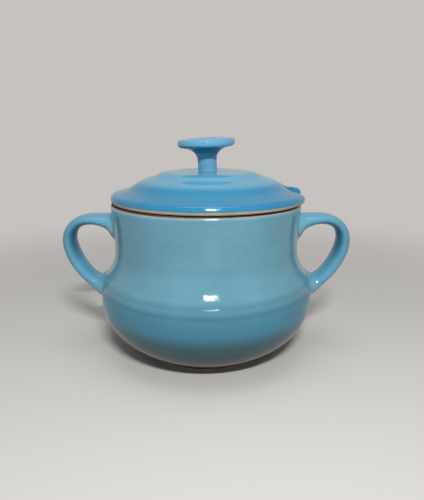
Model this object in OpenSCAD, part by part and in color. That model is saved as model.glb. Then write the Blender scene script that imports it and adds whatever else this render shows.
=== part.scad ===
// Lidded soup bowl with two loop handles, in glazed stoneware.
// Millimetres. The origin is on the table, under the middle of the bowl. +X runs to the right
// handle and -Y to the front.

/* [Bowl] */
// Height of the rim above the table
bowl_h = 82.5; // [72:0.5:100]
// Outside diameter at the rim
rim_d = 101; // [98:0.5:110]
// Outside diameter at the narrowest place of the neck
neck_d = 98.4; // [92:0.2:101]
// Height of the narrowest place of the neck
neck_z = 58.5; // [52:0.5:64]
// Outside diameter of the belly
belly_d = 115; // [108:0.5:126]
// Height of the widest place of the belly
belly_z = 32; // [27:0.5:38]
// Fullness of the curve under the belly, where 2 is an ellipse
belly_fullness = 2.1; // [1.9:0.05:2.5]
// Fullness of the curve of the floor inside
floor_fullness = 2.6; // [2.2:0.05:3]
// Thickness of the wall
wall = 5; // [3.5:0.1:6.5]
// Thickness of the floor inside the foot ring
floor_t = 6; // [4:0.1:8]
// Radius of the two edges of the rim
rim_round = 1.7; // [0.8:0.1:1.7]

/* [Foot ring] */
// Outside diameter of the foot ring
foot_d = 68; // [62:0.5:80]
// Height of the foot ring
foot_h = 1.5; // [1:0.1:4]
// Width of the face that the bowl stands on
foot_w = 4.5; // [3:0.1:8]
// Chamfer on the outer edge of the foot ring
foot_edge = 0.6; // [0.3:0.1:1.2]

/* [Rings round the belly] */
// Rise of the upper ring above the widest place
upper_ring_rise = 10.2; // [8:0.1:14]
// Rise of the lower ring above the widest place
lower_ring_rise = 5.1; // [2:0.1:7]
// Width of each ring
ring_w = 4.4; // [2:0.1:5]
// Depth of each ring
ring_depth = 0.3; // [0.2:0.05:0.9]

/* [Handles] */
// Width over both handles
handle_span = 156.6; // [146:0.2:176]
// Drop from the rim to the top of the handles
handle_drop = 6.9; // [4:0.1:12]
// Height of each handle from its top to its lower root
handle_h = 49; // [42:0.5:56]
// Thickness of the strap, from the finger side to the outside
handle_t = 7.3; // [5:0.1:9]
// Width of the strap, front to back
handle_w = 14; // [10:0.5:20]

/* [Lid] */
// Outside diameter of the lid
lid_d = 102.6; // [99:0.2:110]
// Height of the lid above the rim, without its knob
lid_h = 16; // [12:0.5:24]
// Thickness of the lid
lid_wall = 4.6; // [3.5:0.1:5.6]
// Depth of the flange that holds the lid in the mouth
flange_h = 6; // [4:0.5:9]
// Thickness of the flange
flange_w = 3.4; // [2.5:0.1:4.4]
// Clearance between the flange and the mouth
flange_clear = 0.6; // [0.3:0.1:1.5]
// How far the lid has slid to the right in the mouth
lid_shift = 1.1; // [0:0.1:1.5]

/* [Spoon notch] */
// Width of the notch in the edge of the lid
notch_w = 20; // [12:0.5:23]
// Depth of the notch, from the edge of the lid inwards
notch_depth = 12; // [11.5:0.1:14]
// Direction of the notch, turned from the right handle towards the back
notch_turn = -5; // [-180:1:180]

/* [Knob] */
// Diameter of the cap
knob_d = 30; // [24:0.5:38]
// Height of the knob above the lid
knob_h = 16.4; // [14:0.1:24]
// Diameter of the stem
stem_d = 10; // [7:0.1:13]
// Thickness of the edge of the cap
cap_t = 4.4; // [3:0.1:5]
// Depth of the hollow in the top of the cap
cap_dish = 0.8; // [0.2:0.1:1.6]
// Lean of the knob to the left, in degrees
knob_lean_left = 2.8; // [0:0.1:4]
// Lean of the knob to the front, in degrees
knob_lean_front = 1.5; // [0:0.1:4]
// How far the knob stands to the left of the lid's middle
knob_shift = 0.2; // [0:0.1:1]

/* [Hidden] */
$fn = 180;

// Overrun of every cut
cut = 1;

rim_r = rim_d / 2;
neck_r = neck_d / 2;
belly_r = belly_d / 2;
foot_r = foot_d / 2;
lid_r = lid_d / 2;
knob_r = knob_d / 2;
stem_r = stem_d / 2;
side_top_z = bowl_h - rim_round;
floor_z = foot_h + floor_t;

// Steps along the curves
arc_steps = 4;
neck_steps = 6;
shoulder_steps = 26;
inner_shoulder_steps = 9;
under_steps = 12;

// Where the handles of the two side curves lie, as shares of the rise and of the flare
lip_flare_share = 0.55;
lip_rise_share = 0.665;
throat_rise_share = 0.47;
shoulder_out_share = 0.46;
shoulder_in_share = 0.5;

// Share of a side that one step of corner rounding takes off at each end, and the steps
corner_share = 0.25;
corner_steps = 2;

// Top of the lid from its middle outwards, as shares of its radius and of its height: a flat
// seat for the knob, a crown, two treads with their risers, the brim and the rolled edge
LID_SHARES = [
    [0, 1], [0.13, 1], [0.4, 0.978], [0.492, 0.935], [0.565, 0.805], [0.648, 0.745],
    [0.722, 0.636], [0.812, 0.445], [0.85, 0.4], [0.92, 0.34], [0.978, 0.29],
    [1, 0.2], [1, 0.1], [0.985, 0.03], [0.955, 0]
];

// Stations along a handle from its upper root to its lower one: the place of the strap's middle
// outwards and down, the strap's thickness, the turn of its section in degrees and its width
STRAP_SHARES = [
    [-0.18, 0.21, 3.0, 90, 1.75], [0.1, 0.112, 1.5, 88, 1.3], [0.38, 0.065, 0.88, 90, 1.06],
    [0.593, 0.064, 0.81, 84, 1.02], [0.776, 0.094, 0.8, 63, 1], [0.916, 0.154, 0.85, 37, 1],
    [0.986, 0.232, 0.94, 13, 1], [1, 0.313, 1.01, -4, 1], [0.961, 0.418, 1.07, -22, 1],
    [0.855, 0.546, 1.05, -30, 1], [0.694, 0.67, 1.02, -45, 1.01], [0.523, 0.76, 1.2, -67, 1.06],
    [0.373, 0.821, 1.68, -80, 1.2], [0.235, 0.845, 2.6, -87, 1.45], [-0.05, 0.83, 4.0, -88, 1.8]
];
strap_steps = 4;
strap_sides = 28;

// Edge of the knob's cap, from its underside round to its top, as shares of the cap's radius and
// of its thickness, and how far its hollow reaches outwards, as a share of the radius
CAP_SHARES = [[0.8, 0], [0.94, 0.02], [1, 0.3], [1, 0.66], [0.95, 0.95], [0.8, 1]];
hollow_share = 0.57;

// Flare from the stem to the cap: where the stem ends and how far up the curve still follows it,
// as shares of the knob's height, and where the curve comes in under the cap, as shares of the
// overhang and of the cap's thickness
flare_foot_share = 0.23;
flare_pull_share = 0.555;
flare_out_share = 0.25;
flare_drop_share = 0.45;

// Point at share t of a curve from a to d with the two handles b and c
function bezier(a, b, c, d, t) =
    pow(1 - t, 3) * a + 3 * t * pow(1 - t, 2) * b + 3 * t * t * (1 - t) * c + pow(t, 3) * d;

// Smooth curve through a list: the value at share t between b and c
function through(a, b, c, d, t) =
    0.5 * (2 * b + (c - a) * t + (2 * a - 5 * b + 4 * c - d) * t * t
        + (3 * b - a - 3 * c + d) * pow(t, 3));

// Arc without its last point, which the next curve starts from
function arc(centre, radius, from, to) =
    [for (i = [0:arc_steps - 1]) let (a = from + (to - from) * i / arc_steps)
        centre + radius * [cos(a), sin(a)]];

function rounded(points, steps) =
    steps < 1 ? points : rounded(concat(
        [points[0]],
        [for (i = [0:len(points) - 2]) each [
            points[i] + corner_share * (points[i + 1] - points[i]),
            points[i + 1] + corner_share * (points[i] - points[i + 1])]],
        [points[len(points) - 1]]), steps - 1);

function turned_round(points) = [for (i = [len(points) - 1:-1:0]) points[i]];

// Dip of the wall at a height, from the two rings round the belly
function dip(z, ring_z) =
    let (u = (z - ring_z) / (ring_w / 2)) abs(u) < 1 ? ring_depth * (1 + cos(180 * u)) / 2 : 0;
function rings_dip(z) = dip(z, belly_z + upper_ring_rise) + dip(z, belly_z + lower_ring_rise);

// Side of the bowl from under the rim to the belly, moved in by inset
function neck_curve(inset) =
    let (rim = rim_r - inset, neck = neck_r - inset, rise = side_top_z - neck_z)
    [for (i = [0:neck_steps]) bezier(
        [rim, side_top_z],
        [neck + lip_flare_share * (rim - neck), neck_z + lip_rise_share * rise],
        [neck, neck_z + throat_rise_share * rise],
        [neck, neck_z], i / neck_steps)];
function shoulder_curve(inset, steps) =
    let (neck = neck_r - inset, belly = belly_r - inset, fall = neck_z - belly_z)
    [for (i = [1:steps]) bezier(
        [neck, neck_z],
        [neck, neck_z - shoulder_out_share * fall],
        [belly, belly_z + shoulder_in_share * fall],
        [belly, belly_z], i / steps)];

// Curve under the belly, down to the radius end_r
function under_curve(radius, depth, fullness, end_r) =
    let (end = acos(pow(end_r / radius, fullness / 2)))
    [for (i = [1:under_steps]) let (a = end * i / under_steps)
        [i < under_steps ? radius * pow(cos(a), 2 / fullness) : end_r,
            belly_z - depth * pow(sin(a), 2 / fullness)]];

under_depth = (belly_z - foot_h)
    / pow(1 - pow(foot_r / belly_r, belly_fullness), 1 / belly_fullness);

outer_side = concat(
    arc([rim_r - rim_round, side_top_z], rim_round, 90, 0),
    [for (p = concat(neck_curve(0), shoulder_curve(0, shoulder_steps),
        under_curve(belly_r, under_depth, belly_fullness, foot_r))) p - [rings_dip(p[1]), 0]]);
inner_side = concat(
    arc([rim_r - wall + rim_round, side_top_z], rim_round, 90, 180),
    neck_curve(wall), shoulder_curve(wall, inner_shoulder_steps),
    under_curve(belly_r - wall, belly_z - floor_z, floor_fullness, 0));
foot_side = [
    [foot_r, foot_edge], [foot_r - foot_edge, 0], [foot_r - foot_w, 0],
    [foot_r - foot_w, foot_h], [0, foot_h]];

// Radius of the mouth at a height inside the neck
function mouth_r(z) = lookup(z, [for (p = neck_curve(wall)) [p[1], p[0]]]);

flange_r = mouth_r(bowl_h - flange_h) - lid_shift - flange_clear;
flange_in_r = flange_r - flange_w;

lid_top = rounded([for (s = LID_SHARES) [s[0] * lid_r, s[1] * lid_h]], corner_steps);
lid_under = rounded(concat(
    [[flange_in_r, -flange_h], [flange_in_r, 0]],
    turned_round([for (s = LID_SHARES) if (s[0] * lid_r < flange_in_r - lid_wall / 2)
        [s[0] * lid_r, s[1] * lid_h - lid_wall]])), corner_steps);

// Outline of the knob from its root: the stem, the flare, the edge of the cap and its hollow
cap_low_z = knob_h - cap_t;
cap_in_r = CAP_SHARES[0][0] * knob_r;
flare = [for (i = [0:neck_steps]) bezier(
    [stem_r, flare_foot_share * knob_h],
    [stem_r, flare_pull_share * knob_h],
    [stem_r + flare_out_share * (cap_in_r - stem_r), cap_low_z - flare_drop_share * cap_t],
    [cap_in_r, cap_low_z], i / neck_steps)];
cap_edge = rounded(concat(
    [for (s = CAP_SHARES) [s[0] * knob_r, cap_low_z + s[1] * cap_t]],
    [[hollow_share * knob_r, knob_h - cap_dish], [0, knob_h - cap_dish]]), corner_steps);

module turned(outline) { rotate_extrude() polygon(outline); }

module bowl() {
    color([0.42, 0.62, 0.70])
        turned(concat(outer_side, foot_side, turned_round(inner_side)));
}

// Station k of a handle, held at its ends
function station(k) = STRAP_SHARES[max(0, min(len(STRAP_SHARES) - 1, k))];

// Ring of points round the strap at one station's values
function strap_ring(s) =
    let (middle = [neck_r + s[0] * (handle_span / 2 - handle_t / 2 - neck_r), 0,
            bowl_h - handle_drop - s[1] * handle_h],
        out = [cos(s[3]), 0, sin(s[3])] * s[2] * handle_t / 2,
        across = [0, s[4] * handle_w / 2, 0])
    [for (j = [0:strap_sides - 1]) let (a = 360 * j / strap_sides)
        middle + cos(a) * out + sin(a) * across];

strap_rings = concat(
    [for (k = [0:len(STRAP_SHARES) - 2], i = [0:strap_steps - 1])
        strap_ring(through(station(k - 1), station(k), station(k + 1), station(k + 2),
            i / strap_steps))],
    [strap_ring(station(len(STRAP_SHARES) - 1))]);

module strap() {
    rings = len(strap_rings);
    last = (rings - 1) * strap_sides;
    polyhedron(
        points = [for (ring = strap_rings) each ring],
        faces = concat(
            [[for (j = [strap_sides - 1:-1:0]) j]],
            [for (k = [0:rings - 2], j = [0:strap_sides - 1])
                let (a = k * strap_sides, b = a + strap_sides, n = (j + 1) % strap_sides)
                each [[a + j, b + n, b + j], [a + j, a + n, b + n]]],
            [[for (j = [0:strap_sides - 1]) last + j]]));
}

// A handle is the strap without what lies inside the wall of the bowl
module handle() {
    color([0.40, 0.68, 0.82])
        difference() {
            strap();
            turned(concat([[0, bowl_h]], outer_side, [[foot_r, foot_edge], [0, foot_edge]]));
        }
}
module right_handle() { handle(); }
module left_handle() { mirror([1, 0, 0]) handle(); }

module notch_cut() {
    middle = lid_r - notch_depth + notch_w / 2;
    translate([0, 0, -flange_h - cut]) {
        translate([middle, 0, 0]) cylinder(d = notch_w, h = flange_h + lid_h + cut);
        translate([middle, -notch_w / 2, 0])
            cube([lid_r - middle + cut, notch_w, flange_h + lid_h + cut]);
    }
}

module lid() {
    color([0.30, 0.62, 0.78])
        translate([lid_shift, 0, bowl_h])
            difference() {
                turned(concat(lid_top, [[flange_r, 0], [flange_r, -flange_h]], lid_under));
                rotate(notch_turn) notch_cut();
            }
}

// The knob leans, so its root is run on and cut level with the lid
module lid_knob() {
    color([0.38, 0.66, 0.80])
        translate([lid_shift - knob_shift, 0, bowl_h + lid_h])
            difference() {
                rotate([knob_lean_front, -knob_lean_left, 0])
                    turned(concat([[0, -cut], [stem_r, -cut]], flare, cap_edge));
                translate([-stem_d, -stem_d, -2 * cut]) cube([2 * stem_d, 2 * stem_d, 2 * cut]);
            }
}

bowl();
left_handle();
right_handle();
lid();
lid_knob();
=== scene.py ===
import math

import bpy
from mathutils import Matrix, Vector


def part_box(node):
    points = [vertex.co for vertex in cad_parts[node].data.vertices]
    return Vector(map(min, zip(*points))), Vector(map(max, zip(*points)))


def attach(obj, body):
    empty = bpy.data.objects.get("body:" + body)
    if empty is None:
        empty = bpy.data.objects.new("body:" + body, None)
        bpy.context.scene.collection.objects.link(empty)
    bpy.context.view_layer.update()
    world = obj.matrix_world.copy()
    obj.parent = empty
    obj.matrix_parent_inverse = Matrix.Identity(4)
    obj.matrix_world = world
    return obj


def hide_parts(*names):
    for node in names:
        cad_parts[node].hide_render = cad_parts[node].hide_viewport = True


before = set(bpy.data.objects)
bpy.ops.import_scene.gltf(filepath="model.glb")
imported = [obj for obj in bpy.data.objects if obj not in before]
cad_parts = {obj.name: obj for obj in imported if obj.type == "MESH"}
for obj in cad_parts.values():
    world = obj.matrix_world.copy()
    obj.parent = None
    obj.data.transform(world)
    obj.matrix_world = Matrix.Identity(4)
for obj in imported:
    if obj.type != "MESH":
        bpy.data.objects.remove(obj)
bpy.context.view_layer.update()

# Lidded soup bowl with two loop handles. Metres, in the frame's axes: the foot stands at height
# zero, +X runs to the right handle and -Y to the front.
MM = 0.001
bowl_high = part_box("bowl")[1]
lid_low, lid_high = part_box("lid")
handle_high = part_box("right_handle")[1]
knob_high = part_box("lid_knob")[1]

# Bowl
RIM_Z = bowl_high.z
BELLY_R = bowl_high.x
BELLY_Z = 32 * MM
NECK_Z = 58.5 * MM
NECK_R = 49.2 * MM
RIM_R = 50.5 * MM
WALL = 5 * MM
RIM_ROUND = 2.1 * MM
SIDE_TOP_Z = RIM_Z - RIM_ROUND
FOOT_R = 34 * MM
FOOT_W = 4.5 * MM
FOOT_H = 1.5 * MM
FOOT_EDGE = 0.6 * MM
FLOOR_Z = 7.5 * MM
RINGS_Z = [BELLY_Z + 10.2 * MM, BELLY_Z + 5.1 * MM]
RING_W = 4.4 * MM
RING_DEPTH = 0.3 * MM

# How full the bowl's lower half is outside, inside and in the middle of its wall: 2 is round
BELLY_FULLNESS = 2.1
FLOOR_FULLNESS = 2.6
WALL_FULLNESS = 2.3

# How far the side's curves are drawn out: in from the rim, down from it, up and down from the
# neck and up from the belly, as shares of the width or height between them
RIM_PULL_IN = 0.55
RIM_PULL_DOWN = 0.665
NECK_PULL_UP = 0.47
NECK_PULL_DOWN = 0.46
BELLY_PULL_UP = 0.5

# Points along the bowl's outline, and the last of them that give way to the foot's
RIM_STEPS = 10
NECK_STEPS = 20
SHOULDER_STEPS = 60
UNDER_STEPS = 40
FLOOR_STEPS = 30
FOOT_JOIN = 3
SPOKES = 180

# Points of a turned piece closer than this are one point
MERGE_GAP = 2e-6

# Lid
LID_R = 51.3 * MM
LID_H = lid_high.z - RIM_Z
LID_WALL = 4.6 * MM
LID_X = 1.1 * MM
FLANGE_LOW = lid_low.z - RIM_Z
FLANGE_R = 43.4 * MM
FLANGE_IN_R = FLANGE_R - 3.4 * MM
FLANGE_EDGE = 1.1 * MM
LID_PASSES = 2
LID_VOXEL = 0.55 * MM

# Turned lid without a notch, finer than the voxels, that the lid is drawn back onto
PATTERN_PASSES = 3
PATTERN_SPOKES = 320

# Spoon notch: its place in the lid's edge, the band round it where its rim is eased, and the
# lip on its far side, which is drawn up
NOTCH_W = 19.2 * MM
NOTCH_DEPTH = 12 * MM
NOTCH_TURN = math.radians(-4.6)
NOTCH_SPOKES = 96
NOTCH_EASE_START = 0.9 * MM
NOTCH_EASE_W = 2.2 * MM
NOTCH_EASE_PASSES = 12
NOTCH_LIFT = 0.8 * MM
NOTCH_LIP_W = 4.5 * MM
NOTCH_LIP_R = 42.5 * MM
NOTCH_LIP_Y = -1 * MM

# Knob
KNOB_LEAN_LEFT = math.radians(2.8)
KNOB_LEAN_FRONT = math.radians(1.5)
KNOB_LEAN_RISE = 0.6 * MM
KNOB_SHIFT = 0.2 * MM
KNOB_R = 15 * MM
KNOB_H = knob_high.z - lid_high.z - KNOB_LEAN_RISE
KNOB_SPOKES = 120
CAP_T = 4.4 * MM
CAP_DISH = 0.8 * MM
CAP_DISH_R = 0.57 * KNOB_R
CAP_PASSES = 3
STEM_R = 5 * MM
STEM_FOOT_W = 1.2 * MM
STEM_FOOT_Z = -0.3 * MM
STEM_SINK_Z = -1.2 * MM
STEM_STRAIGHT_Z = 2 * MM
STEM_EDGE = 1.1 * MM
STEM_FLARE_Z = 0.23 * KNOB_H
FLARE_PULL_UP_Z = 0.555 * KNOB_H
FLARE_PULL_OUT = 0.25
FLARE_PULL_DOWN = 0.45 * CAP_T
FLARE_STEPS = 30

# Handles
STRAP_T = 7.3 * MM
STRAP_W = 14 * MM
STRAP_REACH = handle_high.x - STRAP_T / 2 - NECK_R
STRAP_TOP_Z = RIM_Z - 6.9 * MM
STRAP_H = 49 * MM
STRAP_SIDES = 16
STRAP_LEVELS = 3

# Top of the lid from its middle outwards, as shares of its radius and of its height: a flat seat
# for the knob, a crown, two treads with their risers, the brim and the rolled edge
LID_SHARES = [
    (0, 1), (0.13, 1), (0.4, 0.978), (0.492, 0.935), (0.565, 0.805), (0.648, 0.745),
    (0.722, 0.636), (0.812, 0.445), (0.85, 0.4), (0.92, 0.34), (0.978, 0.29),
    (1, 0.2), (1, 0.12), (0.99, 0.035), (0.965, 0.025), (0.945, 0.022), (0.94, 0)]

# Edge of the knob's cap from its underside round to its top, as shares of the cap's radius and of
# its thickness
CAP_SHARES = [(0.8, 0), (0.94, 0.02), (1, 0.3), (1, 0.66), (0.95, 0.95), (0.8, 1)]

# Stations along a handle between its two roots, from the upper one: the place of the strap's
# middle outwards and down, as shares of its reach and height, its thickness as a share of
# STRAP_T, the turn of its section in degrees and its width as a share of STRAP_W
STRAP_SHARES = [
    (0.066, 0.135, 1.81, 88, 1.42), (0.16, 0.092, 1.23, 88, 1.18), (0.38, 0.065, 0.88, 90, 1.06),
    (0.593, 0.064, 0.81, 84, 1.02), (0.776, 0.094, 0.8, 63, 1), (0.916, 0.154, 0.85, 37, 1),
    (0.986, 0.232, 0.94, 13, 1), (1, 0.313, 1.01, -4, 1),
    (0.961, 0.418, 1.07, -22, 1), (0.855, 0.546, 1.05, -30, 1), (0.694, 0.67, 1.02, -45, 1.01),
    (0.523, 0.757, 1.1, -67, 1.02), (0.4, 0.81, 1.48, -80, 1.14)]

# The two roots of a handle, where the strap flares out on the wall: radius of the wall there,
# height of the root's middle, half its height and half its width, at the start and at the end of
# the flare, and how far the end is sunk into the wall
UPPER_ROOT = [(49.7 * MM, 68.3 * MM, 8.2 * MM, 10.4 * MM),
              (49.5 * MM, 67.6 * MM, 9.8 * MM, 12.2 * MM)]
LOWER_ROOT = [(57.5 * MM, 36.6 * MM, 8 * MM, 9.8 * MM), (57 * MM, 37 * MM, 10.4 * MM, 12.4 * MM)]
ROOT_SINK = 0.16 * MM


def clean_start():
    if bpy.context.object and bpy.context.object.mode != "OBJECT":
        bpy.ops.object.mode_set(mode="OBJECT")
    bpy.ops.object.select_all(action="DESELECT")


def pick(piece):
    clean_start()
    piece.select_set(True)
    bpy.context.view_layer.objects.active = piece


def modify(piece, kind, **settings):
    """Adds one modifier with its settings and applies it."""
    pick(piece)
    modifier = piece.modifiers.new(kind.title(), kind)
    for setting, value in settings.items():
        setattr(modifier, setting, value)
    bpy.ops.object.modifier_apply(modifier=modifier.name)


def smooth_share(value):
    """Rises smoothly from 0 to 1 as the value does."""
    t = min(1, max(0, value))
    return t * t * (3 - 2 * t)


def bezier(a, b, c, d, steps):
    """Points after a up to d on the curve that starts towards b and comes in from c."""
    a, b, c, d = (Vector(p) for p in (a, b, c, d))
    points = []
    for i in range(1, steps + 1):
        t = i / steps
        points.append((1 - t) ** 3 * a + 3 * t * (1 - t) ** 2 * b + 3 * t * t * (1 - t) * c + t ** 3 * d)
    return points


def arc(centre, radius, start, end, steps):
    centre = Vector(centre)
    turns = [math.radians(start + (end - start) * i / steps) for i in range(steps + 1)]
    return [centre + radius * Vector((math.cos(t), math.sin(t))) for t in turns]


def rounded(points, passes):
    """An outline between the same ends with its corners cut again and again."""
    for _ in range(passes):
        cut = [points[0]]
        for a, b in zip(points, points[1:]):
            cut += [a.lerp(b, 0.25), a.lerp(b, 0.75)]
        points = cut + [points[-1]]
    return points


def eased(points, size, steps=5):
    """An outline with every corner between its ends rounded to about the given size."""
    smooth = [points[0]]
    for a, b, c in zip(points, points[1:], points[2:]):
        start = b + (a - b).normalized() * min(size, (a - b).length / 2)
        end = b + (c - b).normalized() * min(size, (c - b).length / 2)
        for i in range(steps + 1):
            t = i / steps
            smooth.append(start.lerp(b, t).lerp(b.lerp(end, t), t))
    return smooth + [points[-1]]


def lathe(name, outline, spokes):
    """Turns an outline of (radius, height) points round the Z axis."""
    clean_start()
    start = outline[0]
    bpy.ops.mesh.primitive_plane_add(size=MM, location=(start[0], 0, start[1]))
    piece = bpy.context.object
    piece.name = name
    bpy.ops.object.transform_apply()
    bpy.ops.object.mode_set(mode="EDIT")
    bpy.ops.mesh.merge(type="CENTER")
    for here, there in zip(outline, outline[1:]):
        step = (there[0] - here[0], 0, there[1] - here[1])
        bpy.ops.mesh.extrude_vertices_move(TRANSFORM_OT_translate={"value": step})
    bpy.ops.mesh.select_all(action="SELECT")
    bpy.ops.mesh.spin(steps=spokes, angle=math.tau, center=(0, 0, 0), axis=(0, 0, 1))
    bpy.ops.mesh.select_all(action="SELECT")
    bpy.ops.mesh.remove_doubles(threshold=MERGE_GAP)
    bpy.ops.mesh.normals_make_consistent(inside=False)
    bpy.ops.mesh.delete_loose()
    bpy.ops.object.mode_set(mode="OBJECT")
    bpy.ops.object.shade_smooth()
    return piece


def side(inset):
    """The side of the bowl from under its rim down to the belly, moved in by inset."""
    rim, neck, belly = RIM_R - inset, NECK_R - inset, BELLY_R - inset
    rise, fall = SIDE_TOP_Z - NECK_Z, NECK_Z - BELLY_Z
    below_rim = (neck + RIM_PULL_IN * (rim - neck), NECK_Z + RIM_PULL_DOWN * rise)
    upper = bezier((rim, SIDE_TOP_Z), below_rim, (neck, NECK_Z + NECK_PULL_UP * rise),
                   (neck, NECK_Z), NECK_STEPS)
    lower = bezier((neck, NECK_Z), (neck, NECK_Z - NECK_PULL_DOWN * fall),
                   (belly, BELLY_Z + BELLY_PULL_UP * fall), (belly, BELLY_Z), SHOULDER_STEPS)
    return upper + lower


def under(radius, depth, fullness, end_r, steps):
    """The bowl below its belly, from there down and in to the radius end_r."""
    end = math.acos((end_r / radius) ** (fullness / 2))
    points = []
    for i in range(1, steps + 1):
        a = end * i / steps
        out = max(0.0, math.cos(a)) ** (2 / fullness) if i < steps else end_r / radius
        points.append(Vector((radius * out, BELLY_Z - depth * math.sin(a) ** (2 / fullness))))
    return points


def ring_dip(z):
    """How deep the turned rings cut in at this height."""
    dip = 0
    for ring_z in RINGS_Z:
        u = (z - ring_z) / (RING_W / 2)
        if abs(u) < 1:
            dip += RING_DEPTH * (1 + math.cos(math.pi * u)) / 2
    return dip


def bowl_outline():
    """From the rim's top down the outside, round the foot, and up the inside."""
    depth = (BELLY_Z - FOOT_H) / (1 - (FOOT_R / BELLY_R) ** BELLY_FULLNESS) ** (1 / BELLY_FULLNESS)
    outside = side(0) + under(BELLY_R, depth, BELLY_FULLNESS, FOOT_R, UNDER_STEPS)
    outside = [Vector((p[0] - ring_dip(p[1]), p[1])) for p in outside]
    inside = side(WALL) + under(BELLY_R - WALL, BELLY_Z - FLOOR_Z, FLOOR_FULLNESS, 0, FLOOR_STEPS)
    foot_in_r = FOOT_R - FOOT_W
    foot = eased([outside[-FOOT_JOIN], Vector((FOOT_R, FOOT_H)), Vector((FOOT_R, 0)),
                  Vector((foot_in_r, 0)), Vector((foot_in_r, FOOT_H)), Vector((0, FOOT_H))],
                 FOOT_EDGE)
    outside = outside[:-FOOT_JOIN]
    rim = arc((RIM_R - RIM_ROUND, SIDE_TOP_Z), RIM_ROUND, 90, 0, RIM_STEPS)
    lip = arc((RIM_R - WALL + RIM_ROUND, SIDE_TOP_Z), RIM_ROUND, 90, 180, RIM_STEPS)
    return rim + outside + foot + (lip + inside)[::-1] + [rim[0]]


def lid_outline(passes):
    """From the middle of the lid's top out to its edge, round the flange, and in under it."""
    top = rounded([Vector((r * LID_R, z * LID_H)) for r, z in LID_SHARES], passes)
    hollow = [Vector((r * LID_R, z * LID_H - LID_WALL)) for r, z in LID_SHARES
              if r * LID_R < FLANGE_IN_R - LID_WALL / 2]
    hollow = rounded([Vector((FLANGE_IN_R, 0))] + hollow[::-1], passes)
    flange = eased([top[-1], Vector((FLANGE_R, 0)), Vector((FLANGE_R, FLANGE_LOW)),
                    Vector((FLANGE_IN_R, FLANGE_LOW)), hollow[0], hollow[1]], FLANGE_EDGE)
    return top + flange[1:-1] + hollow[1:]


def notch_cutter():
    """A block with a round end that cuts the spoon notch out of the lid's edge."""
    clean_start()
    middle = LID_R - NOTCH_DEPTH + NOTCH_W / 2
    bpy.ops.mesh.primitive_cylinder_add(vertices=NOTCH_SPOKES, radius=NOTCH_W / 2,
                                        depth=2 * LID_H, location=(middle, 0, 0))
    cutter = bpy.context.object
    bpy.ops.object.transform_apply()
    for vertex in cutter.data.vertices:
        if vertex.co.x > middle:
            vertex.co.x += NOTCH_DEPTH
    cutter.rotation_euler.z = NOTCH_TURN
    bpy.ops.object.transform_apply()
    return cutter


def past_notch(point):
    """How far outside the notch a point of the lid lies, seen from above."""
    u = point.x * math.cos(NOTCH_TURN) + point.y * math.sin(NOTCH_TURN)
    v = point.y * math.cos(NOTCH_TURN) - point.x * math.sin(NOTCH_TURN)
    u = min(0, u - (LID_R - NOTCH_DEPTH + NOTCH_W / 2))
    return math.hypot(u, v) - NOTCH_W / 2


def move_to(piece, place):
    """Moves and turns a piece's mesh into its place."""
    pick(piece)
    piece.location = place
    bpy.ops.object.transform_apply()


def lip_share(point):
    """How much of the far lip's lift a point of the lid gets."""
    near = min(1, max(0, 1 - past_notch(point) / NOTCH_LIP_W))
    high = min(1, point.z / LID_WALL)
    far_out = min(1, max(0, (point.xy.length - NOTCH_LIP_R) / NOTCH_LIP_W))
    return smooth_share(near * high * far_out)


def make_lid():
    """The lid, turned, cut, eased round the notch and drawn back onto the turned pattern."""
    pattern = lathe("lid_pattern", lid_outline(PATTERN_PASSES), PATTERN_SPOKES)
    lid = lathe("lid_body", lid_outline(LID_PASSES), SPOKES)
    cutter = notch_cutter()
    modify(lid, "BOOLEAN", operation="DIFFERENCE", solver="EXACT", object=cutter)
    modify(lid, "REMESH", mode="VOXEL", voxel_size=LID_VOXEL, use_smooth_shade=True)
    near = lid.vertex_groups.new(name="near_notch")
    away = lid.vertex_groups.new(name="away")
    for vertex in lid.data.vertices:
        share = smooth_share((past_notch(vertex.co) - NOTCH_EASE_START) / NOTCH_EASE_W)
        near.add([vertex.index], 1 - share, "REPLACE")
        away.add([vertex.index], share, "REPLACE")
    modify(lid, "SMOOTH", factor=0.5, iterations=NOTCH_EASE_PASSES, vertex_group="near_notch")
    modify(lid, "SHRINKWRAP", target=pattern, vertex_group="away")
    for vertex in lid.data.vertices:
        if vertex.co.y > NOTCH_LIP_Y and vertex.co.z > 0:
            vertex.co.z += NOTCH_LIFT * lip_share(vertex.co)
    for helper in (pattern, cutter):
        bpy.data.objects.remove(helper)
    move_to(lid, (LID_X, 0, RIM_Z))
    return lid


def make_knob():
    cap_low_z = KNOB_H - CAP_T
    cap_in_r = CAP_SHARES[0][0] * KNOB_R
    under_cap = (STEM_R + FLARE_PULL_OUT * (cap_in_r - STEM_R), cap_low_z - FLARE_PULL_DOWN)
    flare = bezier((STEM_R, STEM_FLARE_Z), (STEM_R, FLARE_PULL_UP_Z), under_cap,
                   (cap_in_r, cap_low_z), FLARE_STEPS)
    edge = [Vector((r * KNOB_R, cap_low_z + z * CAP_T)) for r, z in CAP_SHARES]
    edge += [Vector((CAP_DISH_R, KNOB_H - CAP_DISH)), Vector((0, KNOB_H - CAP_DISH))]
    foot_r = STEM_R + STEM_FOOT_W
    root = eased([Vector((foot_r, STEM_FOOT_Z)), Vector((STEM_R, STEM_FOOT_Z)),
                  Vector((STEM_R, STEM_STRAIGHT_Z))], STEM_EDGE)
    start = [Vector((0, STEM_SINK_Z)), Vector((foot_r, STEM_SINK_Z))]
    knob = lathe("knob", start + root + flare + rounded(edge, CAP_PASSES)[1:], KNOB_SPOKES)
    knob.rotation_euler = (KNOB_LEAN_FRONT, -KNOB_LEAN_LEFT, 0)
    move_to(knob, (LID_X - KNOB_SHIFT, 0, RIM_Z + LID_H))
    return knob


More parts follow.
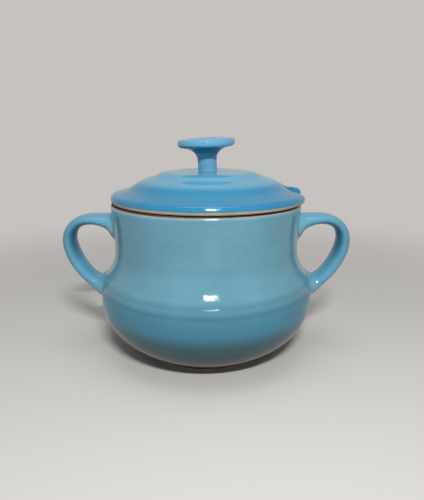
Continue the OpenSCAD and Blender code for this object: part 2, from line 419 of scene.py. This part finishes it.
def section(middle_x, middle_z, half_t, turn, half_w):
    """The matrix that lays a unit circle as a section of the strap."""
    out = Vector((math.cos(turn), 0, math.sin(turn)))
    across = Vector((0, 1, 0))
    along = out.cross(across)
    turned = Matrix((out * half_t, across * half_w, along * STRAP_T)).transposed().to_4x4()
    return Matrix.Translation((middle_x, 0, middle_z)) @ turned


def between(a, b, c, d, t):
    """The values t of the way from b to c on the smooth curve through a, b, c and d."""
    return [0.5 * (2 * q + (r - p) * t + (2 * p - 5 * q + 4 * r - s) * t * t
                   + (3 * q - p - 3 * r + s) * t ** 3) for p, q, r, s in zip(a, b, c, d)]


def strap_sections():
    """The strap's sections at its stations and halfway between them."""
    sections = []
    last = len(STRAP_SHARES) - 1
    for k in range(last + 1):
        near = [STRAP_SHARES[max(0, min(last, k + n))] for n in (-1, 0, 1, 2)]
        for t in (0, 0.5) if k < last else (0,):
            out, down, thick, turn, wide = between(*near, t)
            sections.append(section(NECK_R + out * STRAP_REACH, STRAP_TOP_Z - down * STRAP_H,
                                    thick * STRAP_T / 2, math.radians(turn), wide * STRAP_W / 2))
    return sections


def make_right_handle():
    """The strap as rings drawn out along its stations, flared onto the wall at both roots."""
    # Subdividing shrinks a ring, so it starts larger by as much
    swell = 6 / (4 + 2 * math.cos(math.tau / STRAP_SIDES))
    upper = [section(x, z, h, math.pi / 2, w) for x, z, h, w in UPPER_ROOT]
    lower = [section(x, z, h, -math.pi / 2, w) for x, z, h, w in LOWER_ROOT]
    rings = upper[::-1] + strap_sections() + lower
    clean_start()
    bpy.ops.mesh.primitive_circle_add(vertices=STRAP_SIDES, radius=swell)
    handle = bpy.context.object
    handle.name = "handle_right"
    root = handle.vertex_groups.new(name="root")
    bpy.ops.object.mode_set(mode="EDIT")
    bpy.ops.mesh.select_all(action="SELECT")
    mesh = handle.data
    place = Matrix.Identity(4)
    for k, ring in enumerate(rings):
        in_root = k < len(upper) or k >= len(rings) - len(lower)
        if k:
            bpy.ops.mesh.extrude_region_move()
        bpy.ops.object.mode_set(mode="OBJECT")
        step = ring @ place.inverted()
        for vertex in mesh.vertices:
            if vertex.select:
                vertex.co = step @ vertex.co
                if in_root:
                    root.add([vertex.index], 1, "REPLACE")
                else:
                    root.remove([vertex.index])
        place = ring
        bpy.ops.object.mode_set(mode="EDIT")
    bpy.ops.object.mode_set(mode="OBJECT")
    modify(handle, "SHRINKWRAP", wrap_method="PROJECT", target=bowl, vertex_group="root",
           use_project_x=True, use_negative_direction=True, use_positive_direction=True,
           offset=-ROOT_SINK)
    modify(handle, "SUBSURF", levels=STRAP_LEVELS, render_levels=STRAP_LEVELS)
    close_ends()
    return handle


def close_ends():
    """Closes both ends of the active handle, inside the wall, with sharp edges round them."""
    bpy.ops.object.mode_set(mode="EDIT")
    bpy.ops.mesh.select_all(action="DESELECT")
    bpy.ops.mesh.select_non_manifold()
    bpy.ops.mesh.mark_sharp()
    bpy.ops.mesh.fill_holes(sides=0)
    face_outwards()


def face_outwards():
    bpy.ops.mesh.select_all(action="SELECT")
    bpy.ops.mesh.normals_make_consistent(inside=False)
    bpy.ops.object.mode_set(mode="OBJECT")


bowl = lathe("bowl_body", bowl_outline(), SPOKES)
right_handle = make_right_handle()
lid = make_lid()
knob = make_knob()
pick(right_handle)
bpy.ops.object.duplicate()
left_handle = bpy.context.object
left_handle.name = "handle_left"
left_handle.scale.x = -1
bpy.ops.object.transform_apply()
bpy.ops.object.mode_set(mode="EDIT")
face_outwards()

for piece, body, node, slot in ((bowl, "bowl", "bowl", "bowl_glaze"),
                                (left_handle, "bowl", "left_handle", "handle_glaze"),
                                (right_handle, "bowl", "right_handle", "handle_glaze"),
                                (lid, "lid", "lid", "lid_glaze"),
                                (knob, "lid", "lid_knob", "knob_glaze")):
    pick(piece)
    bpy.ops.object.shade_smooth()
    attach(piece, body)
    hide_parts(node)

# Camera: its focal length and the image's height in pixels, and its place and tilt
IMAGE_H = 500
FOCAL_PX = 470
SENSOR = 36
CAMERA_PLACE = (3.06 * MM, -251.2 * MM, RIM_Z + 37.12 * MM)
CAMERA_DOWN = 14.47
CAMERA_ROLL = -0.16
NEAR_CLIP = 10 * MM
camera = bpy.data.objects.new("camera", bpy.data.cameras.new("camera"))
bpy.context.collection.objects.link(camera)
camera.data.sensor_width = SENSOR
camera.data.lens = SENSOR * FOCAL_PX / IMAGE_H
camera.data.clip_start = NEAR_CLIP
camera.location = CAMERA_PLACE
tilt = Matrix.Rotation(math.radians(90 - CAMERA_DOWN), 3, "X")
roll = Matrix.Rotation(math.radians(CAMERA_ROLL), 3, "Z")
camera.rotation_euler = (tilt @ roll).to_euler()
bpy.context.scene.camera = camera

# Floor and background: the floor fades into the background, which is pale all round, between
# these distances from the bowl
PALE = (0.56, 0.54, 0.52, 1)
FLOOR_TONE = (0.66, 0.64, 0.61, 1)
FLOOR_ROUGHNESS = 0.85
FLOOR_SHINE = 0.2
FLOOR_SIZE = 6
FLOOR_FADE = (0.11, 0.42)

# Light: levels are the brightness that each gives a white surface facing it
WORLD_LEVEL = 0.25
KEY_LEVEL = 0.78
KEY_PLACE = Vector((42, -386, 353)) * MM
KEY_SIZE = (125 * MM, 11 * MM)
TOP_LEVEL = 0.2
TOP_PLACE = Vector((0, -60, 950)) * MM
TOP_SIZE = (700 * MM, 500 * MM)
AIM = Vector((0, 0, 50)) * MM

# The hole of a handle's loop seen from the front, as a leaning ellipse. Its glaze is painted darker
# close to the hole, as shares of the ellipse, and above the hole's lower part: painted shade on the
# loop's inner side and under the upper arm.
LOOP_X = 59.9 * MM
LOOP_Z = RIM_Z - 27.2 * MM
LOOP_HALF_W = 10 * MM
LOOP_HALF_H = 14 * MM
LOOP_TILT = 0.3
LOOP_DARK = (1.34, 1.06)
LOOP_DARK_RISE = (-8 * MM, 4 * MM)
LOOP_SHADE = 0.6

# Outer bend of a handle, painted a little darker as painted shade, and the wall beside the loop:
# its radius at the loop's height, how it leans, and how far out the tone of the roots reaches
BEND_X = (BELLY_R + 8 * MM, BELLY_R + 18 * MM)
BEND_SHADE = 0.22
WALL_SLOPE = 0.234
WALL_AT_LOOP = 52.9 * MM
ROOT_X = (WALL_AT_LOOP + 4 * MM, WALL_AT_LOOP + 1 * MM)

# Colour of the bowl's glaze at heights above its foot, with painted light and shade in it: near
# black at the foot as painted shade and a painted dark reflection under the belly, deep on the
# belly, palest on the shoulder where the light falls, darker and greyer in the upper neck as
# painted shade under the lid, and lighter at the rim as a painted sheen. Inside it is one tone.
BOWL_SHADED_STOPS = [
    (8 * MM, (0.028, 0.021, 0.006, 1)), (20 * MM, (0.03, 0.085, 0.1, 1)),
    (30 * MM, (0.047, 0.214, 0.31, 1)), (48 * MM, (0.132, 0.342, 0.438, 1)),
    (60 * MM, (0.14, 0.35, 0.44, 1)), (71 * MM, (0.115, 0.27, 0.345, 1)),
    (79 * MM, (0.15, 0.34, 0.43, 1))]
POOL_TONE = (0.012, 0.06, 0.1, 1)
BOWL_INSIDE = (0.14, 0.35, 0.45, 1)

# Other glaze colours: the usual tone, and where it lies deep; on the handles and the knob the deep
# tone also carries painted shade
LID_TONES = [(0.122, 0.365, 0.53, 1), (0.007, 0.195, 0.372, 1)]
HANDLE_TONES = [(0.112, 0.335, 0.48, 1), (0.012, 0.1, 0.17, 1)]
KNOB_TONES = [(0.12, 0.365, 0.55, 1), (0.02, 0.16, 0.29, 1)]
ROOT_TONE = (0.14, 0.35, 0.45, 1)
THIN_TONE = (0.33, 0.42, 0.43, 1)
SPECK_TONE = (0.03, 0.05, 0.055, 1)
CLAY_TONES = [(0.52, 0.43, 0.31, 1), (0.34, 0.27, 0.18, 1)]
# Brown of the seats: partly stain, partly painted shade of the gap between lid and rim
STAIN_AND_SHADE_TONE = (0.11, 0.05, 0.024, 1)

# Glaze: the size of its turning marks, clouds, grain, ripples and specks, and of the patches in
# which specks lie; how much each shows in the colour and in the surface; and its roughness
MARK_SIZE = 4.5 * MM
CLOUD_SIZE = 17 * MM
GRAIN_SIZE = 1.1 * MM
RIPPLE_SIZE = 2.6 * MM
SPECK_SIZE = 2.4 * MM
PATCH_SIZE = 5 * MM
MARK_TONE = 0.5
CLOUD_TONE = 0.45
GRAIN_TONE = 0.3
SPECK_SHARE = 0.25
MARK_RELIEF = 0.9
RIPPLE_RELIEF = 0.1
SPECK_RELIEF = 0.3
SPECK_EDGE = (0.14, 0.08)
PATCH_EDGE = (0.55, 0.66)
GLAZE_ROUGHNESS = (0.03, 0.07)
THIN_ROUGHNESS = 0.18
GLAZE_IOR = 1.5
SHINE = 0.45
BUMP = 0.07 * MM

# Bare clay: the size of its clouds and sand, how much each shows, and its roughness
CLAY_CLOUD_SIZE = 9 * MM
SAND_SIZE = 0.5 * MM
CLAY_CLOUD_TONE = 0.5
SAND_TONE = 0.45
CLAY_ROUGHNESS = (0.7, 0.9)

# How strong the turning marks are on each piece
BOWL_MARKS = 0.6
LID_MARKS = 1
HANDLE_MARKS = 0.15
KNOB_MARKS = 0.4

# How deep the bowl's glaze lies, and how much deeper in the turned rings
BOWL_DEPTH = 0.3
POOL_DEPTH = 0.3
POOL_SHARE = 0.6

# Where the bowl is bare: its rim, its foot, and the seat inside its neck. The ends of the glaze
# wander, with the given size and reach. On the rim's edge the glaze is thin.
BOWL_WANDER = (7 * MM, 0.25 * MM)
RIM_BARE = (RIM_Z - 0.9 * MM, RIM_Z - 0.6 * MM)
RIM_THIN = (RIM_Z - 2.2 * MM, RIM_Z - 0.6 * MM)
RIM_THIN_SHARE = 0.7
FOOT_BARE = (0.9 * MM, 0.6 * MM)
SEAT_BARE_Z = (RIM_Z - 7.6 * MM, RIM_Z - 7.2 * MM)
SEAT_BARE_R = (RIM_R - WALL + 1.2 * MM, RIM_R - WALL + 0.8 * MM)
WALL_MIDDLE = (0.97, 1.03)

# Where the lid is bare: from the band under its rolled edge inwards, but for its hollow. The bare
# clay is darkened to brown from its seat on the rim down to the top of the flange: partly a stain
# where the lid has rubbed on the rim, partly painted shade of the gap between lid and rim.
LID_WANDER = (9 * MM, 0.3 * MM)
BAND_Z = (RIM_Z + 2 * MM, RIM_Z + 1.75 * MM)
HOLLOW_R = (FLANGE_IN_R - 1.6 * MM, FLANGE_IN_R - 0.8 * MM)
STAIN_AND_SHADE_TOP_Z = (RIM_Z + 0.45 * MM, RIM_Z + 0.3 * MM)
STAIN_AND_SHADE_LOW_Z = (RIM_Z - 2.2 * MM, RIM_Z - 1.1 * MM)
STAIN_AND_SHADE_LEFT = 0.12

# Depth of the lid's glaze on its crown and on its brim, and the radii between which it changes
LID_DEPTHS = (0.12, 0.85)
CROWN_EDGE_R = (34.5 * MM, 38.5 * MM)

# The knob is painted darker from the stem's flare up to the cap's edge: a painted shadow of the cap
# on the stem and painted shade under the cap
CAP_SHADOW_START_Z = (lid_high.z + KNOB_H - 2 * CAP_T, lid_high.z + KNOB_H - 1.45 * CAP_T)
CAP_EDGE_Z = (knob_high.z - CAP_T + 0.6 * MM, knob_high.z - CAP_T - 0.6 * MM)


def add(tree, kind, inputs, **settings):
    """Adds one node, with its settings, and sets or links its inputs."""
    made = tree.nodes.new("ShaderNode" + kind)
    for setting, value in settings.items():
        setattr(made, setting, value)
    for key, value in inputs.items():
        if isinstance(value, bpy.types.NodeSocket):
            tree.links.new(value, made.inputs[key])
        else:
            made.inputs[key].default_value = value
    return made


def math_node(tree, operation, a, b=0, clamp=False):
    return add(tree, "Math", {0: a, 1: b}, operation=operation, use_clamp=clamp).outputs[0]


def total(tree, a, b, clamp=False):
    return math_node(tree, "ADD", a, b, clamp)


def less(tree, a, b):
    return math_node(tree, "SUBTRACT", a, b)


def both(tree, a, b):
    return math_node(tree, "MULTIPLY", a, b)


def either(tree, *masks):
    joined = masks[0]
    for mask in masks[1:]:
        joined = math_node(tree, "MAXIMUM", joined, mask)
    return joined


def swing(tree, value, reach):
    """Noise from 0 to 1 made to swing about 0."""
    return both(tree, less(tree, value, 0.5), reach)


def fade(tree, value, start, end):
    """A mask that rises smoothly from 0 at start to 1 at end."""
    ends = {"Value": value, "From Min": start, "From Max": end}
    return add(tree, "MapRange", ends, interpolation_type="SMOOTHSTEP").outputs[0]


def mix_colour(tree, share, a, b):
    mixed = add(tree, "Mix", {0: share, 6: a, 7: b}, data_type="RGBA")
    return mixed.outputs[2]


def mix_value(tree, share, a, b):
    return add(tree, "Mix", {0: share, 2: a, 3: b}).outputs[0]


def noise(tree, vector, size, detail=2):
    """Noise whose features are about the given size across."""
    inputs = {"Vector": vector, "Scale": 1 / size, "Detail": detail}
    return add(tree, "TexNoise", inputs).outputs[0]


def distance(tree, a, b):
    return math_node(tree, "SQRT", total(tree, both(tree, a, a), both(tree, b, b)))


def radius_and_height(tree, vector):
    """Distance from the bowl's axis, and height."""
    split = add(tree, "SeparateXYZ", {0: vector})
    return distance(tree, split.outputs[0], split.outputs[1]), split.outputs[2]


def new_group(name, inputs, outputs):
    group = bpy.data.node_groups.new(name, "ShaderNodeTree")
    for direction, sockets in (("INPUT", inputs), ("OUTPUT", outputs)):
        for socket, kind in sockets:
            group.interface.new_socket(socket, in_out=direction, socket_type="NodeSocket" + kind)
    return group, group.nodes.new("NodeGroupInput"), group.nodes.new("NodeGroupOutput")


def glaze_group():
    """Glossy glaze: clouding, turning marks, fine specks and a skin that isn't quite even."""
    group, given, out = new_group(
        "glaze_skin",
        [("Vector", "Vector"), ("Tone", "Color"), ("Deep Tone", "Color"), ("Thin Tone", "Color"),
         ("Depth", "Float"), ("Thin", "Float"), ("Turning Marks", "Float")],
        [("Color", "Color"), ("Roughness", "Float"), ("Height", "Float")])
    vector = given.outputs["Vector"]
    radius, height = radius_and_height(group, vector)
    turned = add(group, "CombineXYZ", {0: radius, 2: height}).outputs[0]
    marks = swing(group, noise(group, turned, MARK_SIZE, detail=1), given.outputs["Turning Marks"])
    clouds = swing(group, noise(group, vector, CLOUD_SIZE, detail=3), CLOUD_TONE)
    grains = noise(group, vector, GRAIN_SIZE)
    ripples = noise(group, vector, RIPPLE_SIZE, detail=1)
    fine = total(group, both(group, marks, MARK_TONE), swing(group, grains, GRAIN_TONE))
    depth = total(group, total(group, given.outputs["Depth"], clouds), fine, clamp=True)
    colour = mix_colour(group, depth, given.outputs["Tone"], given.outputs["Deep Tone"])
    colour = mix_colour(group, given.outputs["Thin"], colour, given.outputs["Thin Tone"])
    cells = add(group, "TexVoronoi", {"Vector": vector, "Scale": 1 / SPECK_SIZE}).outputs["Distance"]
    patches = fade(group, noise(group, vector, PATCH_SIZE, detail=1), *PATCH_EDGE)
    specks = both(group, both(group, fade(group, cells, *SPECK_EDGE), patches), SPECK_SHARE)
    colour = mix_colour(group, specks, colour, SPECK_TONE)
    roughness = mix_value(group, grains, *GLAZE_ROUGHNESS)
    roughness = mix_value(group, given.outputs["Thin"], roughness, THIN_ROUGHNESS)
    relief = total(group, both(group, ripples, RIPPLE_RELIEF), both(group, marks, MARK_RELIEF))
    relief = less(group, relief, both(group, specks, SPECK_RELIEF))
    for socket, value in (("Color", colour), ("Roughness", roughness), ("Height", relief)):
        group.links.new(value, out.inputs[socket])
    return group


def clay_group():
    """Bare fired clay: tan with darker grains and a sandy surface."""
    group, given, out = new_group("bare_clay", [("Vector", "Vector")],
                                  [("Color", "Color"), ("Roughness", "Float"), ("Height", "Float")])
    vector = given.outputs["Vector"]
    clouds = noise(group, vector, CLAY_CLOUD_SIZE, detail=3)
    sand = noise(group, vector, SAND_SIZE)
    share = total(group, both(group, clouds, CLAY_CLOUD_TONE), both(group, sand, SAND_TONE))
    colour = mix_colour(group, share, *CLAY_TONES)
    roughness = mix_value(group, sand, *CLAY_ROUGHNESS)
    for socket, value in (("Color", colour), ("Roughness", roughness), ("Height", sand)):
        group.links.new(value, out.inputs[socket])
    return group


def new_material(name):
    """A material, its tree and shader, and the place on the piece that its patterns read."""
    material = bpy.data.materials.new(name)
    material.use_nodes = True
    tree = material.node_tree
    return material, tree, tree.nodes["Principled BSDF"], add(tree, "TexCoord", {}).outputs["Object"]


def glazed(tree, shader, vector, tones, depth, thin, marks, bare):
    """Glaze over the clay, bare where the mask says, on the given shader."""
    tone, deep = tones
    skin = add(tree, "Group", {}, node_tree=GLAZE)
    for socket, value in (("Vector", vector), ("Tone", tone), ("Deep Tone", deep),
                          ("Thin Tone", THIN_TONE), ("Depth", depth), ("Thin", thin),
                          ("Turning Marks", marks)):
        if isinstance(value, bpy.types.NodeSocket):
            tree.links.new(value, skin.inputs[socket])
        else:
            skin.inputs[socket].default_value = value
    colour, roughness, relief = (skin.outputs[k] for k in ("Color", "Roughness", "Height"))
    if bare is not None:
        clay = add(tree, "Group", {}, node_tree=CLAY)
        tree.links.new(vector, clay.inputs["Vector"])
        colour = mix_colour(tree, bare, colour, clay.outputs["Color"])
        roughness = mix_value(tree, bare, roughness, clay.outputs["Roughness"])
        relief = mix_value(tree, bare, relief, clay.outputs["Height"])
    bump = add(tree, "Bump", {"Height": relief, "Distance": BUMP, "Strength": 1})
    tree.links.new(colour, shader.inputs["Base Color"])
    tree.links.new(roughness, shader.inputs["Roughness"])
    tree.links.new(bump.outputs[0], shader.inputs["Normal"])
    shader.inputs["IOR"].default_value = GLAZE_IOR
    shader.inputs["Specular IOR Level"].default_value = SHINE


def stain_and_gap_shade(tree, shader, share):
    """Darkens the colour to brown at the seats: partly a stain where the lid has rubbed on the rim,
    partly painted shade of the gap between lid and rim.
    """
    colour = shader.inputs["Base Color"].links[0].from_socket
    tree.links.new(mix_colour(tree, share, colour, STAIN_AND_SHADE_TONE), shader.inputs["Base Color"])


def wavy(tree, vector, value, size, reach):
    """A height that wanders up and down by reach, for the hand-wiped ends of a glaze."""
    return total(tree, value, swing(tree, noise(tree, vector, size), 2 * reach))


def outside_wall(tree, radius, height):
    """1 on the outside of the bowl's lower half and 0 on its inside, either side of its wall."""
    out = math_node(tree, "DIVIDE", radius, BELLY_R - WALL / 2)
    down = math_node(tree, "DIVIDE", less(tree, BELLY_Z, height), BELLY_Z - FLOOR_Z + WALL / 2)
    down = math_node(tree, "MAXIMUM", down, 0)
    reach = total(tree, math_node(tree, "POWER", out, WALL_FULLNESS),
                  math_node(tree, "POWER", down, WALL_FULLNESS))
    return fade(tree, reach, *WALL_MIDDLE)


def bowl_glaze():
    material, tree, shader, vector = new_material("bowl_glaze")
    radius, height = radius_and_height(tree, vector)
    edge = wavy(tree, vector, height, *BOWL_WANDER)
    seat = both(tree, fade(tree, edge, *SEAT_BARE_Z), fade(tree, radius, *SEAT_BARE_R))
    bare = either(tree, fade(tree, edge, *RIM_BARE), seat, fade(tree, edge, *FOOT_BARE))
    rings = [both(tree, fade(tree, height, z - RING_W / 2, z), fade(tree, height, z + RING_W / 2, z))
             for z in RINGS_Z]
    outside = outside_wall(tree, radius, height)
    pooled = both(tree, either(tree, *rings), outside)
    depth = total(tree, both(tree, pooled, POOL_DEPTH), BOWL_DEPTH)
    # Colour by height, with painted shade towards the foot and in the neck and a painted sheen at the
    # rim
    tone = BOWL_SHADED_STOPS[0][1]
    for (low, _), (high, colour) in zip(BOWL_SHADED_STOPS, BOWL_SHADED_STOPS[1:]):
        tone = mix_colour(tree, fade(tree, height, low, high), tone, colour)
    tone = mix_colour(tree, outside, BOWL_INSIDE, tone)
    tones = [tone, mix_colour(tree, POOL_SHARE, tone, POOL_TONE)]
    thin = both(tree, fade(tree, edge, *RIM_THIN), RIM_THIN_SHARE)
    glazed(tree, shader, vector, tones, depth, thin, BOWL_MARKS, bare)
    # Rim's bare top darkened: the rim's stain together with painted shade of the gap under the lid
    stain_and_gap_shade(tree, shader, fade(tree, height, *RIM_BARE))
    return material


def lid_glaze():
    material, tree, shader, vector = new_material("lid_glaze")
    centred = add(tree, "Mapping", {"Vector": vector, "Location": (-LID_X, 0, 0)}).outputs[0]
    radius, height = radius_and_height(tree, centred)
    edge = wavy(tree, vector, height, *LID_WANDER)
    bare = both(tree, fade(tree, edge, *BAND_Z), fade(tree, radius, *HOLLOW_R))
    depth = mix_value(tree, fade(tree, radius, *CROWN_EDGE_R), *LID_DEPTHS)
    glazed(tree, shader, centred, LID_TONES, depth, 0, LID_MARKS, bare)
    # Stain and painted shade of the gap, weaker below the seat
    dark_strength = mix_value(tree, fade(tree, edge, *STAIN_AND_SHADE_LOW_Z), STAIN_AND_SHADE_LEFT, 1)
    rubbed_and_shaded = both(tree, bare, fade(tree, height, *STAIN_AND_SHADE_TOP_Z))
    stain_and_gap_shade(tree, shader, both(tree, rubbed_and_shaded, dark_strength))
    return material


def handle_glaze():
    material, tree, shader, vector = new_material("handle_glaze")
    split = add(tree, "SeparateXYZ", {0: vector})
    reach = math_node(tree, "ABSOLUTE", split.outputs[0])
    rise = less(tree, split.outputs[2], LOOP_Z)
    lean = less(tree, reach, both(tree, rise, LOOP_TILT))
    across = math_node(tree, "DIVIDE", less(tree, lean, LOOP_X), LOOP_HALF_W)
    along = math_node(tree, "DIVIDE", rise, LOOP_HALF_H)
    # Painted shade round the hole of the loop and under the upper arm
    shade_by_hole = fade(tree, distance(tree, across, along), *LOOP_DARK)
    inner_shade = both(tree, shade_by_hole, fade(tree, rise, *LOOP_DARK_RISE))
    # Painted shade on the handle's outer bend
    bend = both(tree, fade(tree, reach, *BEND_X), BEND_SHADE)
    depth = total(tree, both(tree, inner_shade, LOOP_SHADE), bend)
    root = fade(tree, total(tree, both(tree, rise, WALL_SLOPE), reach), *ROOT_X)
    tone, deep = HANDLE_TONES
    tones = [mix_colour(tree, root, tone, ROOT_TONE), deep]
    glazed(tree, shader, vector, tones, depth, 0, HANDLE_MARKS, None)
    return material


def knob_glaze():
    material, tree, shader, vector = new_material("knob_glaze")
    height = add(tree, "SeparateXYZ", {0: vector}).outputs[2]
    # Painted shadow of the cap on the stem and painted shade under the cap
    depth = both(tree, fade(tree, height, *CAP_SHADOW_START_Z), fade(tree, height, *CAP_EDGE_Z))
    glazed(tree, shader, vector, KNOB_TONES, depth, 0, KNOB_MARKS, None)
    return material


GLAZE = glaze_group()
CLAY = clay_group()
for pieces, material in (((bowl,), bowl_glaze()), ((left_handle, right_handle), handle_glaze()),
                         ((lid,), lid_glaze()), ((knob,), knob_glaze())):
    for piece in pieces:
        piece.data.materials.clear()
        piece.data.materials.append(material)


def seen_by(tree):
    """1 for the rays that see the background: from the camera, in a reflection or through glass."""
    rays = add(tree, "LightPath", {}).outputs
    return either(tree, rays["Is Camera Ray"], rays["Is Glossy Ray"], rays["Is Transmission Ray"])


def make_floor():
    """The floor, which fades into the background far from the bowl."""
    clean_start()
    bpy.ops.mesh.primitive_plane_add(size=FLOOR_SIZE, location=(0, 0, 0))
    floor = bpy.context.object
    floor.name = "floor"
    material, tree, shader, vector = new_material("floor_paint")
    shader.inputs["Base Color"].default_value = FLOOR_TONE
    shader.inputs["Roughness"].default_value = FLOOR_ROUGHNESS
    shader.inputs["Specular IOR Level"].default_value = FLOOR_SHINE
    glow = add(tree, "Emission", {"Color": PALE})
    far = add(tree, "VectorMath", {0: vector}, operation="LENGTH").outputs["Value"]
    share = both(tree, fade(tree, far, *FLOOR_FADE), seen_by(tree))
    joined = add(tree, "MixShader", {0: share, 1: shader.outputs[0], 2: glow.outputs[0]})
    tree.links.new(joined.outputs[0], tree.nodes["Material Output"].inputs["Surface"])
    floor.data.materials.append(material)


def make_world():
    """Plain light from all round, and the pale background."""
    world = bpy.data.worlds.new("studio")
    bpy.context.scene.world = world
    world.use_nodes = True
    tree = world.node_tree
    light = tree.nodes["Background"]
    light.inputs["Color"].default_value = (1, 1, 1, 1)
    light.inputs["Strength"].default_value = WORLD_LEVEL
    pale = add(tree, "Background", {"Color": PALE, "Strength": 1})
    joined = add(tree, "MixShader", {0: seen_by(tree), 1: light.outputs[0], 2: pale.outputs[0]})
    tree.links.new(joined.outputs[0], tree.nodes["World Output"].inputs["Surface"])


def lamp(name, place, size, level):
    """An oval lamp that points at the bowl."""
    light = bpy.data.lights.new(name, "AREA")
    light.shape = "ELLIPSE"
    light.size, light.size_y = size
    light.energy = level * (math.pi * (place - AIM).length) ** 2
    lamp_object = bpy.data.objects.new(name, light)
    lamp_object.location = place
    lamp_object.rotation_euler = (AIM - place).to_track_quat("-Z", "Y").to_euler()
    bpy.context.collection.objects.link(lamp_object)


make_floor()
make_world()
lamp("key", KEY_PLACE, KEY_SIZE, KEY_LEVEL)
lamp("overhead", TOP_PLACE, TOP_SIZE, TOP_LEVEL)

bpy.context.scene.view_settings.view_transform = "Standard"
